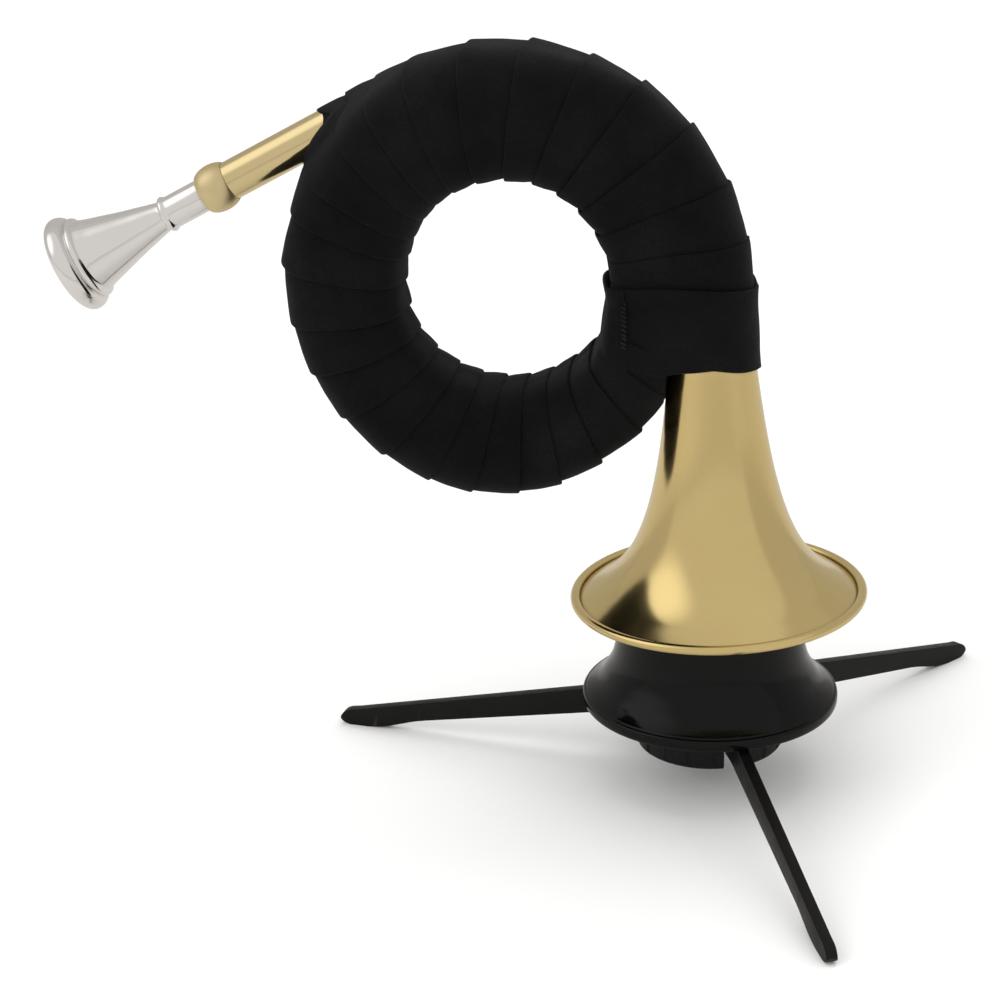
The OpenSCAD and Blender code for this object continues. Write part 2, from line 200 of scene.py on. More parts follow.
def new_material(name):
    """An empty material: itself, its node tree, its Principled shader, object coordinates."""
    material = bpy.data.materials.new(name)
    material.use_nodes = True
    tree = material.node_tree
    tree.nodes.clear()
    output = tree.nodes.new("ShaderNodeOutputMaterial")
    shader = tree.nodes.new("ShaderNodeBsdfPrincipled")
    tree.links.new(shader.outputs[0], output.inputs[0])
    coords = tree.nodes.new("ShaderNodeTexCoord").outputs["Object"]
    return material, tree, shader, coords


def noise(tree, coords, scale, detail, rough, stretch=(1, 1, 1)):
    mapping = add_node(tree, "ShaderNodeMapping", {"Scale": stretch, "Vector": coords})
    texture = add_node(tree, "ShaderNodeTexNoise", {
        "Scale": scale, "Detail": detail, "Roughness": rough, "Vector": mapping.outputs[0]})
    return texture.outputs["Fac"]


def ramp(tree, factor, stops):
    """Colour ramp from stops of (position, colour)."""
    node = add_node(tree, "ShaderNodeValToRGB", {"Fac": factor})
    elements = node.color_ramp.elements
    while len(elements) < len(stops):
        elements.new(0.5)
    for element, (position, colour) in zip(elements, stops):
        element.position = position
        element.color = (*colour, 1)
    return node.outputs["Color"]


def map_range(tree, value, source, target, **settings):
    """Maps the span source (low, high) onto the span target."""
    node = add_node(tree, "ShaderNodeMapRange", {
        "From Min": source[0], "From Max": source[1],
        "To Min": target[0], "To Max": target[1], "Value": value}, **settings)
    return node.outputs["Result"]


def mix_colour(tree, factor, first, second):
    node = add_node(tree, "ShaderNodeMix", {0: factor, 6: first, 7: second}, data_type="RGBA")
    return node.outputs[2]


def calculate(tree, operation, *values):
    node = add_node(tree, "ShaderNodeMath", dict(enumerate(values)), operation=operation)
    return node.outputs[0]


def bump(tree, height, strength, distance, normal=None):
    inputs = {"Strength": strength, "Distance": distance, "Height": height}
    if normal is not None:
        inputs["Normal"] = normal
    return add_node(tree, "ShaderNodeBump", inputs).outputs[0]


# ---------------------------------------------------------------- materials
def metal(name, base, dark, rough, grain, tarnish, scale):
    """Metal with tarnish clouds, fine polishing lines and painted shade in narrow creases.

    rough is the (least, most) roughness, grain the strength of the lines, tarnish how far
    the clouds go towards the dark colour, scale the fineness of both patterns."""
    material, tree, shader, coords = new_material(name)
    cloud = noise(tree, coords, scale=scale * 0.12, detail=5, rough=0.6)
    lines = noise(tree, coords, scale=scale * 6, detail=3, rough=0.5, stretch=(1, 1, 9))
    clouded = mix_colour(tree, map_range(tree, cloud, (0.35, 0.75), (0, tarnish)), base, dark)
    # painted shade: ambient occlusion darkens the colour towards a dim tone of the dark colour in
    # narrow creases and grooves, such as beside the rim's bead
    occlusion = add_node(tree, "ShaderNodeAmbientOcclusion", {"Distance": 0.0016}, samples=6)
    crease_shade = map_range(tree, occlusion.outputs["AO"], (0.3, 0.8), (0.85, 0.0))
    painted_shade = tuple(0.25 * v for v in dark)
    wear = calculate(tree, "MULTIPLY_ADD", lines, 0.25, cloud)
    set_inputs(tree, shader, {
        "Metallic": 1.0,
        "Base Color": mix_colour(tree, crease_shade, clouded, painted_shade),
        "Roughness": map_range(tree, wear, (0.45, 0.85), rough),
        "Normal": bump(tree, lines, strength=grain, distance=0.00004)})
    return material


def velour(name, dark=(0.0018, 0.0018, 0.0019), light=(0.0048, 0.0048, 0.005), sheen=0.05):
    """Matt pile fabric: short fibres, brushed patches, a soft light edge."""
    material, tree, shader, coords = new_material(name)
    pile = noise(tree, coords, scale=2600, detail=4, rough=0.7)
    fibre = noise(tree, coords, scale=900, detail=6, rough=0.75, stretch=(1, 1.6, 0.7))
    patch = noise(tree, coords, scale=55, detail=4, rough=0.6)
    shade = calculate(tree, "MULTIPLY", pile, map_range(tree, patch, (0.3, 0.7), (0.6, 1.35)))
    brightest = tuple(1.7 * v for v in light)
    fibre_bump = bump(tree, fibre, strength=0.55, distance=0.00035)
    set_inputs(tree, shader, {
        "Base Color": ramp(tree, shade, [(0.25, dark), (0.62, light), (0.8, brightest)]),
        "Roughness": 0.95,
        "Specular IOR Level": 0.12,
        "Sheen Weight": sheen,
        "Sheen Roughness": 0.45,
        "Sheen Tint": (0.75, 0.75, 0.85),
        "Normal": bump(tree, pile, strength=0.5, distance=0.00015, normal=fibre_bump)})
    return material


def plastic(name, dark, light, rough, scale, grain, specular):
    """Black plastic: a faint cloud in colour and roughness, and a fine grain."""
    material, tree, shader, coords = new_material(name)
    cloud = noise(tree, coords, scale=scale * 0.1, detail=4, rough=0.6)
    fine = noise(tree, coords, scale=scale * 3, detail=3, rough=0.5)
    set_inputs(tree, shader, {
        "Base Color": ramp(tree, cloud, [(0.3, dark), (0.75, light)]),
        "Roughness": map_range(tree, cloud, (0.3, 0.7), rough),
        "Specular IOR Level": specular,
        "Normal": bump(tree, fine, strength=grain, distance=0.00005)})
    return material


def worn_paint(name):
    """Black paint on flat steel: grainy, thinner and greyer along the edges."""
    material, tree, shader, coords = new_material(name)
    geometry = tree.nodes.new("ShaderNodeNewGeometry")
    grain = noise(tree, coords, scale=1500, detail=4, rough=0.6)
    cloud = noise(tree, coords, scale=140, detail=5, rough=0.65)
    edge = map_range(tree, geometry.outputs["Pointiness"], (0.53, 0.66), (0, 0.55))
    wear = calculate(tree, "MULTIPLY", edge, map_range(tree, cloud, (0.38, 0.62), (0.0, 1.0)))
    black = ramp(tree, cloud, [(0.3, (0.0028, 0.0027, 0.0028)), (0.75, (0.0055, 0.0052, 0.0052))])
    worn = (0.10, 0.075, 0.07)
    set_inputs(tree, shader, {
        "Base Color": mix_colour(tree, wear, black, worn),
        "Roughness": map_range(tree, cloud, (0.3, 0.7), (0.34, 0.5)),
        "Specular IOR Level": 0.2,
        "Normal": bump(tree, grain, strength=0.25, distance=0.00006)})
    return material


def floor_paint(name):
    """Pale floor that shiny things see darker, as if in shade."""
    material, tree, shader, coords = new_material(name)
    cloud = noise(tree, coords, scale=3.0, detail=3, rough=0.5)
    pale = ramp(tree, cloud, [(0.3, (0.86, 0.86, 0.855)), (0.7, (0.90, 0.90, 0.895))])
    glossy = tree.nodes.new("ShaderNodeLightPath").outputs["Is Glossy Ray"]
    shaded = (0.52, 0.51, 0.49)
    set_inputs(tree, shader, {"Base Color": mix_colour(tree, glossy, pale, shaded),
                              "Roughness": 0.85})
    return material


BRASS = metal("polished_brass", base=(0.80, 0.62, 0.28), dark=(0.68, 0.50, 0.21),
              rough=(0.13, 0.2), grain=0.05, tarnish=0.4, scale=260)
BRASS_PIPE = metal("polished_brass_pipe", base=(0.81, 0.66, 0.36), dark=(0.72, 0.55, 0.27),
                   rough=(0.09, 0.15), grain=0.05, tarnish=0.35, scale=400)
SATIN = metal("satin_brass", base=(0.80, 0.65, 0.37), dark=(0.70, 0.54, 0.29),
              rough=(0.38, 0.46), grain=0.35, tarnish=0.4, scale=500)
SILVER = metal("silver_plate", base=(0.93, 0.905, 0.89), dark=(0.87, 0.835, 0.815),
               rough=(0.07, 0.13), grain=0.03, tarnish=0.4, scale=400)
TURNED = metal("turned_brass", base=(0.74, 0.58, 0.30), dark=(0.58, 0.43, 0.2),
               rough=(0.25, 0.35), grain=0.3, tarnish=0.5, scale=700)
STEEL = metal("turned_steel", base=(0.56, 0.56, 0.57), dark=(0.42, 0.41, 0.40),
              rough=(0.25, 0.38), grain=0.3, tarnish=0.5, scale=900)
VELOUR = velour("black_velour")
VELOUR_BAND = velour("black_velour_band", sheen=0.055)
THREAD = velour("grey_thread", dark=(0.006, 0.006, 0.0065), light=(0.018, 0.018, 0.019))
GLOSS = plastic("black_gloss_plastic", dark=(0.0012, 0.0012, 0.0013),
                light=(0.0022, 0.0022, 0.0023), rough=(0.08, 0.13), scale=500,
                grain=0.02, specular=0.2)
SATIN_PLASTIC = plastic("black_satin_plastic", dark=(0.003, 0.003, 0.0034),
                        light=(0.006, 0.006, 0.0065), rough=(0.35, 0.5), scale=600,
                        grain=0.2, specular=0.22)
PAINT = worn_paint("worn_black_paint")


def set_material(ob, material):
    ob.data.materials.clear()
    ob.data.materials.append(material)


def dress(ob, material, body, node):
    """Gives a piece its material, the body it rides and the CAD node it replaces."""
    set_material(ob, material)
    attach(ob, body)
    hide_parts(node)


# ---------------------------------------------------------------- bell
BELL_R = 37.5
BEAD_R = 1.25                   # rolled rim
SHEET = 0.6
NECK = 68.0                     # height of the neck's open end


def bell_radius(z):
    """Outer radius of the flare at a height above the rim."""
    return 110.47 / (z + 7.71) ** 0.5313 + 0.18 - 0.00015 * z * z


def make_bell():
    low, high = 0.55, NECK - 6
    outer, inner = [], []
    for i in range(111):
        z = low + (high - low) * (i / 110) ** 1.7
        radius = bell_radius(z)
        dip = 0.75 * max(0.0, 1 - z / 3.2) ** 2         # just inside the rolled rim
        outer.append((radius, z - dip))
        inner.append((radius - SHEET * (1 + 0.5 * math.exp(-z / 2)), z - dip))
    bead = []
    for i in range(45):
        angle = math.radians(172 - 332 * i / 44)
        bead.append((BELL_R - 0.2 + BEAD_R * math.cos(angle), BEAD_R * math.sin(angle)))
    neck_end = [(10.33, NECK - 4.5), (10.28, NECK - 0.3), (10.35, NECK),
                (10.75, NECK), (10.9, NECK - 0.3), (10.98, NECK - 4)]
    # down the outside, round the bead, up the inside and over the neck's end
    profile = outer[::-1] + bead + [(bell_radius(0.5) - 1.0, -0.75)] + inner + neck_end
    ob = lathe("bell_shell", profile, segments=256, place=HORN, sharp_angle=30)
    dress(ob, BRASS, "horn", "bell")


# ---------------------------------------------------------------- leadpipe and mouthpiece
def make_leadpipe():
    radius, wall, start, length = 5.05, 0.5, 1.25, 56.0
    profile = [(radius - wall, start), (radius - wall, length), (radius, length)]
    profile += [(radius, z) for z in np.linspace(length - 1, 2, 30)]
    profile += [(radius, start)]
    ob = lathe("leadpipe_tube", profile, segments=128, place=LEAD, sharp_angle=30)
    dress(ob, BRASS_PIPE, "horn", "leadpipe")


# (radius, distance along the pipe from the receiver's mouth)
FERRULE_OUTSIDE = [
    (4.42, 0.1), (4.68, 0.0), (5.0, 0.08), (5.3, 0.4), (5.6, 0.9), (5.88, 1.5), (6.1, 2.25),
    (6.26, 3.15), (6.32, 4.05), (6.28, 4.95), (6.14, 5.9), (5.9, 6.75), (5.6, 7.45),
    (5.32, 7.85), (5.16, 7.98)]
FERRULE_BORE = [(5.08, 7.85), (5.08, 1.2), (4.42, 1.1), (4.38, 0.3)]


def make_ferrule():
    profile = spline(FERRULE_OUTSIDE, steps=6) + FERRULE_BORE
    ob = lathe("receiver_ferrule_barrel", profile, segments=128, place=LEAD, sharp_angle=40)
    dress(ob, SATIN, "horn", "receiver_ferrule")


# The mouthpiece as (radius, distance from the rim's face)
RIM_R = 12.94
MOUTHPIECE_OUT = 41.5           # how far the rim's face stands out of the receiver
RIM_NECK = [
    (11.1, 5.12), (10.86, 5.26), (10.74, 5.42), (10.75, 5.58),
    (10.86, 5.72), (10.98, 5.92), (11.03, 6.2), (11.0, 6.5), (10.86, 6.78), (10.6, 7.0),
    (10.3, 7.18)]
CUP_OUTSIDE = [
    (10.02, 7.36), (9.73, 7.7), (9.35, 8.9), (8.82, 10.6), (8.1, 13.2), (7.35, 15.9),
    (6.6, 18.6), (5.9, 21.3), (5.25, 24.0), (4.65, 26.4), (4.2, 28.3), (3.98, 29.35)]
SHANK = [
    (4.0, 29.62), (4.2, 29.78), (4.52, 30.0), (4.74, 30.32), (4.82, 30.7), (4.74, 31.08),
    (4.54, 31.4), (4.36, 31.58), (4.3, 31.8),
    (4.31, 32.4), (4.31, 36), (4.3, 41.3), (4.1, 42.6), (3.95, 48), (3.72, 60.2), (3.62, 60.5)]
BORE_AND_CUP = [
    (2.8, 60.5), (2.65, 52), (2.4, 42), (2.2, 33), (2.1, 29), (2.2, 27.5), (2.9, 25), (3.9, 21),
    (5.0, 17), (6.2, 12.6), (7.3, 8.8), (8.1, 5.4), (8.55, 3.4), (9.0, 1.9), (9.6, 0.8),
    (10.2, 0.15)]


def make_mouthpiece():
    round_r, outer_depth = 2.5, 2.95
    face_depth = 2.3
    rim = []
    for degrees in range(0, 157, 6):
        angle = math.radians(degrees)
        depth = face_depth if degrees < 90 else outer_depth
        rim.append((RIM_R - round_r + round_r * math.sin(angle),
                    face_depth - depth * math.cos(angle)))
    points = rim + RIM_NECK + spline(CUP_OUTSIDE, steps=4) + SHANK + BORE_AND_CUP
    profile = [(radius, z - MOUTHPIECE_OUT) for radius, z in points]
    ob = lathe("mouthpiece_cup", profile, segments=192, place=LEAD, sharp_angle=40)
    dress(ob, SILVER, "mouthpiece", "mouthpiece")


# ---------------------------------------------------------------- skin round a bundle of tubes
# The reach of a shape is how far it extends in each of these directions of its cross-section.
DIRECTIONS = np.linspace(0, 2 * math.pi, 181)[:-1]
COS_D, SIN_D = np.cos(DIRECTIONS)[None], np.sin(DIRECTIONS)[None]


def circle_reach(across, y, radius):
    return across * COS_D + y * SIN_D + radius


def oval_reach(across, y, half_across, half_y, power):
    return (across * COS_D + y * SIN_D
            + (np.abs(half_across * COS_D) ** power
               + np.abs(half_y * SIN_D) ** power) ** (1 / power))


def ray_to_skin(reach, aim, softness):
    """Distance to the skin along each aim; a soft minimum keeps the skin smooth.
    Also gives the weight of each direction."""
    facing = np.cos(DIRECTIONS[None] - aim[:, None])
    distance = np.where(facing > 0.05, reach / np.maximum(facing, 0.05), 1e9)
    weight = np.exp(-(distance - distance.min(1)[:, None]) / softness)
    return (distance * weight).sum(1) / weight.sum(1), weight


# ---------------------------------------------------------------- the taped coil
# Angles round the coil (phi): 0 towards the bell's axis, 90 up. Round the tape's own section
# (psi): 0 away from the coil's centre, 90 to the back.
COIL_X, COIL_Z = -50.1, 85.5    # centre of the coil
MID_Y = 4.7                     # middle of the bundle, front to back
LEAD_Y = 14.36                  # depth of the leadpipe

# (x, y) where the tubes pass on the two sides of the coil
RIGHT_BACK, RIGHT_MIDDLE, RIGHT_FRONT = (-6.53, LEAD_Y), (-16.53, 9.37), (-16.84, -3.9)
BELL_AXIS = (0.0, 0.0)
LEFT_BACK, LEFT_MIDDLE, LEFT_FRONT = (-95.86, 14.14), (-84.27, 5.79), (-98.33, -2.3)

# The straight leadpipe's distance from the coil's centre and the direction of that distance;
# then the bend that it runs into
LINE_DISTANCE, LINE_ANGLE = 53.82, math.radians(116.2)
LEAD_BEND_X, LEAD_BEND_R = -57.21, 50.68

# (phi, radius) of the bundle's outer side
COIL_OUTER = [
    (-60, 50.5), (-46, 48.5), (-30, 46), (0, 57.9), (30, 58.1), (60, 58.0), (90, 58.9),
    (112, 58.9), (128, 57.3), (143, 56.6), (160, 56.3), (190, 55.0), (225, 55.1), (253, 55.8),
    (268, 54.7), (284, 52.8), (299, 50.1), (310, 49.4), (330, 47), (345, 44)]

# phi of the tape's leading edge at whole turns -2 to 27
SEAM_ANGLES = [
    344, 333, 321, 307.4, 292.6, 280.2, 268.4, 255.7, 244, 229.7, 215.2, 200.5, 186.5, 170.4,
    157.0, 147.5, 134.2, 124.2, 112.4, 98, 83.3, 68.5, 54.5, 39.1, 22.7, 8.1, -6, -17.5, -19,
    -20.5]
# (psi, share) of the extra advance near the outside of the coil, and its degrees by turn
HOOD = [
    (-45, 0), (-20, 0.08), (-6, 0.4), (4, 0.77), (10, 0.88), (14, 0.84), (18, 0.74), (22, 0.65),
    (28, 0.57), (36, 0.48), (46, 0.33), (66, 0)]
HOOD_TURNS = [(13, 13.7), (14, 4.6), (15, 1.6)]

# (phi, how much closer the tape lies on the inside of the coil)
INSIDE_PULL = [
    (0, 0.0), (30, -0.15), (45, 0.15), (75, 0.5), (110, 0.55), (135, 0.2), (165, -0.2),
    (185, 0.1), (205, 0.65), (240, 0.95), (300, 1.02), (345, 1.02), (360, 0.0)]

FIRST_TURN, LAST_TURN, STEPS_PER_TURN = -1.5, 24.35, 112
TAPE, TAPE_GAP = 0.66, 0.05     # thickness, and space between layers
TAPE_LIFT = 1.75                # height of the top layer above the bundle
TURN_SLACK = 0.22
# shares of the way across the visible tape, then across its tail under the next turn
ACROSS_VISIBLE = [0.0, 0.012, 0.04, 0.09, 0.17, 0.28, 0.4, 0.52, 0.64, 0.76, 0.87, 0.95, 1.0]
ACROSS_TAIL = [0.12, 0.3, 0.5]


def circle_distance(phi, centre_x, radius):
    """Distance from the coil's centre to a circle centred level with it."""
    offset = centre_x - COIL_X
    return offset * np.cos(phi) + np.sqrt(
        np.maximum(radius * radius - (offset * np.sin(phi)) ** 2, 0))


def tube_pass(right, left, phi):
    """Distance from the coil's centre, and y, of the bend from right to left."""
    middle_x, radius = (right[0] + left[0]) / 2, (right[0] - left[0]) / 2
    distance = circle_distance(phi, middle_x, radius)
    x = COIL_X + distance * np.cos(phi)
    y = (right[1] + left[1]) / 2 + (right[1] - left[1]) / 2 * (x - middle_x) / radius
    return distance, y


def coil_radii(phi):
    """Outer and inner radius of the bundle."""
    degrees = np.degrees(phi)
    inner = (28.0 - 0.83 * np.cos(phi) - 0.4 * np.sin(phi)
             + 0.45 * np.exp(-((degrees % 360 - 318) / 24) ** 2))
    return look_up(degrees, COIL_OUTER), inner


def bundle_reach(phi, turn):
    """Reach of the bundle of tubes, one row per section."""
    phi, turn = phi[:, None], turn[:, None]
    degrees = np.degrees(phi)
    outer, inner = coil_radii(phi)
    reach = oval_reach((outer + inner) / 2, MID_Y, (outer - inner) / 2, half_y=14.2, power=1.52)
    upper = (degrees % 360) < 180
    bends = [                   # right end, left end, covering radius, where it counts
        (RIGHT_MIDDLE, LEFT_BACK, 5.4, upper), (RIGHT_FRONT, LEFT_MIDDLE, 5.9, upper),
        (BELL_AXIS, LEFT_FRONT, 7.6, upper & (degrees >= 90)),
        (BELL_AXIS, LEFT_FRONT, 9.0, upper & (degrees < 90)),
        (RIGHT_BACK, LEFT_BACK, 5.2, ~upper), (RIGHT_MIDDLE, LEFT_MIDDLE, 5.6, ~upper),
        (RIGHT_FRONT, LEFT_FRONT, 6.55, ~upper)]
    for right, left, radius, counts in bends:
        distance, y = tube_pass(right, left, phi)
        reach = np.where(counts, np.maximum(reach, circle_reach(distance, y, radius)), reach)
    # the straight tail of the bell, under the last turns only
    tail = circle_reach(-COIL_X / np.cos(phi), 0, radius=9.6)
    reach = np.where((turn > 20) & (degrees < 8), np.maximum(reach, tail), reach)
    # the leadpipe, from the turn that covers it onwards
    line = LINE_DISTANCE / np.maximum(np.cos(phi - LINE_ANGLE), 0.3)
    bend = circle_distance(phi, LEAD_BEND_X, LEAD_BEND_R)
    radius = 5.35 - np.interp(degrees, [106, 122], [0, 1.1])
    lead = circle_reach(np.where(phi > LINE_ANGLE, line, bend), LEAD_Y, radius)
    share = smooth_step((150 - degrees) / 11) * ((turn > 12.5) & (degrees < 160) & (degrees > -1))
    return reach + share * np.maximum(lead - reach, 0)


def bundle_skin(phi, psi, turn):
    """Point of the bundle's skin (radius, y) and its outward normal (along radius, along y)."""
    outer, inner = coil_radii(phi)
    middle = (outer + inner) / 2
    reach = bundle_reach(phi, turn) - middle[:, None] * COS_D - MID_Y * SIN_D
    distance, weight = ray_to_skin(reach, psi, softness=0.25)
    out, back = (COS_D * weight).sum(1), (SIN_D * weight).sum(1)
    length = np.hypot(out, back)
    return (middle + distance * np.cos(psi), MID_Y + distance * np.sin(psi),
            out / length, back / length)


def edge_angle(turn):
    """phi of the tape's leading edge; it falls, so the tape goes clockwise seen from the front."""
    angle = np.interp(turn, range(-2, 28), SEAM_ANGLES)
    psi = (turn - np.floor(turn)) * 360
    psi = np.where(psi > 180, psi - 360, psi)
    nearest = np.round(turn - psi / 360)
    share = look_up(psi, HOOD)
    for number, advance in HOOD_TURNS:
        angle = angle - np.where(nearest == number, advance, 0) * share
    return np.radians(angle)


def clear_of_bell(x, y, z):
    """x, kept on the coil's side of the bell's neck."""
    needed = bell_radius(np.clip(z, 30, 70)) + 0.35
    limit = -np.sqrt(np.maximum(needed * needed - np.maximum(y, 0) ** 2, 0))
    return np.where((y < needed) & (x > limit), limit, x)


def tape_line(turn, psi, height):
    """Points and normals of the tape's edge at a height over the bundle."""
    phi = edge_angle(turn)
    radius, y, out, back = bundle_skin(phi, psi, turn)
    radius, y = radius + out * height, y + back * height
    points = np.stack([COIL_X + radius * np.cos(phi), y, COIL_Z + radius * np.sin(phi)], 1)
    return points, np.stack([out * np.cos(phi), back, out * np.sin(phi)], 1)


def between(first, second, share):
    """Points and unit normals part of the way from one line to another."""
    points, normals = (a * (1 - share) + b * share for a, b in zip(first, second))
    return points, normals / np.linalg.norm(normals, axis=1)[:, None]


def make_wrap():
    steps = int((LAST_TURN - FIRST_TURN) * STEPS_PER_TURN)
    turn = np.linspace(FIRST_TURN, LAST_TURN, steps + 1)
    psi = (turn - np.floor(turn)) * 2 * math.pi
    number = np.floor(turn + 0.5)
    lump = 0.10 * np.sin(3 * psi + 1.3 * number) + 0.07 * np.sin(7 * psi + 2.1 * number)
    # a different slack on each turn, blended where one turn runs into the next
    mixing = smooth_step((turn + 0.5 - number - 0.7) / 0.3)
    slack = TURN_SLACK * (wobble(3.3 * number, 1) * (1 - mixing)
                          + wobble(3.3 * (number + 1), 1) * mixing)
    inside = smooth_step((-np.cos(psi) - 0.1) / 0.8)
    low = TAPE_LIFT - look_up(np.degrees(edge_angle(turn)) % 360, INSIDE_PULL) * inside
    layer = TAPE + TAPE_GAP

    lead_edge = tape_line(turn, psi, low + slack + lump)
    next_edge = tape_line(turn + 1, psi, low - layer + 0.5 * lump)
    second_edge = tape_line(turn + 2, psi, low - 2 * layer)
    top, bottom = [], []
    for u in ACROSS_VISIBLE:
        points, normals = between(lead_edge, next_edge, u)
        crown = 0.28 * math.sin(math.pi * u) ** 0.8 * (1 - 0.6 * inside)
        ripple = 0.05 * np.sin(5 * psi + 9 * u + turn * 2.3) * (1 - abs(2 * u - 1))
        points = points + normals * (crown + ripple)[:, None]
        top.append(points)
        bottom.append(points - normals * TAPE)
    for u in ACROSS_TAIL:
        points, normals = between(next_edge, second_edge, u)
        top.append(points)
        bottom.append(points - normals * TAPE)
    # rounded leading edge, and a slight point at the hidden one
    side = lead_edge[0] - next_edge[0]
    side /= np.linalg.norm(side, axis=1)[:, None]
    rounding = [top[0] * (1 - q) + bottom[0] * q + side * (0.32 * math.sin(math.pi * q))
                for q in (0.8, 0.5, 0.2)]
    hidden = [(top[-1] + bottom[-1]) / 2 + (top[-1] - top[-2]) * 0.1]
    sections = np.stack(top + hidden + bottom[::-1] + rounding, 1)
    # the first turns give way to the bell's neck
    x, y, z = np.moveaxis(sections, 2, 0)
    sections[..., 0] = np.where((turn < 2.4)[:, None], clear_of_bell(x, y, z), x)
    dress(sweep("tape_wrap", sections), VELOUR, "horn", "wrap_tape")


# ---------------------------------------------------------------- end band and its stitches
# Directions round the band: 0 bell's side, 90 back, 180 the coil's hole, 270 front.
BAND = 0.85                     # thickness
BAND_LAP = 0.98                 # how far the last stretch stands over the first
BAND_START = math.radians(224.5)
BAND_END = BAND_START + 2 * math.pi + math.radians(9)
NECK_X = -9.0                   # middle of the wrapped neck
# (z, x) of the two sides of the wrapped neck
NECK_RIGHT = [(60, 11.35), (66, 10.9), (76, 10.7), (84, 10.6), (90, 10.5)]
NECK_LEFT = [(56, -29.8), (62, -28.5), (66, -27.9), (70, -27.1), (75, -26.2), (80, -25.3),
             (84, -24.5), (90, -24.3)]
# (direction, z) of the band's two edges
BAND_TOP = [
    (0, 82.1), (45, 82.2), (90, 82.6), (150, 84.0), (180, 85.3), (205, 86.0), (225, 86.2),
    (250, 86.2), (270, 85.9), (300, 85.2), (330, 83.6), (360, 82.1)]
BAND_BOTTOM = [
    (0, 61.0), (45, 61.4), (90, 62.3), (130, 64.5), (160, 67.5), (180, 69.3), (200, 69.8),
    (222, 68.2), (236, 64.6), (255, 63.6), (270, 64.3), (300, 64.6), (330, 62.9), (360, 61.0)]


def neck_outline(z, aim, grow):
    """Horizontal outline of the wrapped neck at height z, grown outwards: x and y at each aim."""
    right, left = look_up(z, NECK_RIGHT)[:, None], look_up(z, NECK_LEFT)[:, None]
    oval = oval_reach((left + right) / 2, MID_Y, (right - left) / 2, half_y=14.4, power=1.45)
    shapes = [circle_reach(-9.0, 14.3, 5.7), circle_reach(left + 6.4, 9.2, 6.4),
              circle_reach(left + 6.6, -3.7, 6.6), oval - 0.6]
    reach = right
    for shape in shapes:
        reach = np.maximum(reach, shape)
    reach = reach - NECK_X * COS_D - MID_Y * SIN_D
    distance = ray_to_skin(reach, aim, softness=0.3)[0] + grow
    return NECK_X + distance * np.cos(aim), MID_Y + distance * np.sin(aim)


def make_band():
    aim = np.linspace(BAND_START, BAND_END, 261)
    degrees = np.degrees(aim) % 360
    high, low = look_up(degrees, BAND_TOP), look_up(degrees, BAND_BOTTOM)
    turned = (aim - BAND_START) / (2 * math.pi)
    lap = BAND_LAP * smooth_step((turned - 0.955) / 0.045)
    wave = 0.22 * np.sin(5 * aim + 0.6) + 0.14 * np.sin(11 * aim)
    from_bell = (degrees + 180) % 360 - 180
    over_wrap = 1.25 * (1 - 0.85 * np.exp(-(from_bell / 50) ** 2))
    outside, inside = [], []
    for u in np.linspace(0, 1, 22):
        z = high * (1 - u) + low * u + wave * (u - 0.35)
        bulge = math.sin(math.pi * u)
        # over the wrap at the top, down to the neck at the bottom
        under = over_wrap * smooth_step((0.32 - u) / 0.32) + 0.12 * bulge
        flare = 0.15 * math.exp(-(u / 0.04) ** 2)
        fold = 0.10 * np.sin(9 * aim + 6 * u) * bulge
        base = 0.1 + under + lap + flare + fold
        for side, grow in ((outside, base + BAND), (inside, base)):
            x, y = neck_outline(z, aim, grow)
            side.append(np.stack([x, y, z], 1))
    rounding = np.array([0, 0, 0.3])
    top_edge = [(outside[0] + inside[0]) / 2 + rounding]
    bottom_edge = [(outside[-1] + inside[-1]) / 2 - rounding]
    sections = np.stack(outside + bottom_edge + inside[::-1] + top_edge, 1)
    dress(sweep("tape_end_band", sections), VELOUR_BAND, "horn", "end_band")


def stitch_ends(i):
    """The two ends of stitch i, across the band's free end."""
    u = 0.2 + 0.06 * i + 0.006 * wobble(2.3 * i, 5)
    jitter = 0.4 * wobble(i * 1.9, 3)
    z = 87.2 * (1 - u) + 68.0 * u + 0.2 * jitter + np.array([0, -0.75])
    aim = BAND_END - 2 * math.pi + 0.012 * jitter + np.array([-0.028, 0.022])
    x, y = neck_outline(z, aim, BAND + BAND_LAP + 0.55)
    return Vector((x[0], y[0], z[0])), Vector((x[1], y[1], z[1]))


def make_stitches():
    sides = 10
    cap = [(0.001, 0.0), (0.14, 0.03), (0.22, 0.14), (0.24, 0.4)]   # (radius, from the end)
    verts, faces = [], []
    for i in range(11):
        start, end = stitch_ends(i)
        length = (end - start).length
        turn = (end - start).to_track_quat("Z", "Y").to_matrix()
        profile = cap + [(radius, length - along) for radius, along in cap[::-1]]
        base = len(verts)
        for radius, along in profile:
            bow = Vector((0, -0.18 * math.sin(math.pi * along / length), 0))
            for k in range(sides):
                angle = 2 * math.pi * k / sides
                ring = Vector((radius * math.cos(angle), radius * math.sin(angle), along))
                verts.append(tuple(start + turn @ ring + bow))
        last = base + (len(profile) - 1) * sides
        for row in range(base, last, sides):
            for k in range(sides):
                k2 = (k + 1) % sides
                faces.append((row + k, row + k2, row + sides + k2, row + sides + k))
        faces.append(tuple(base + k for k in reversed(range(sides))))
        faces.append(tuple(last + k for k in range(sides)))
    ob = build("band_stitches", verts, faces, HORN, sharp_angle=60)
    dress(ob, THREAD, "horn", "band_stitching")


# ---------------------------------------------------------------- stand
LIP_R = 33.5
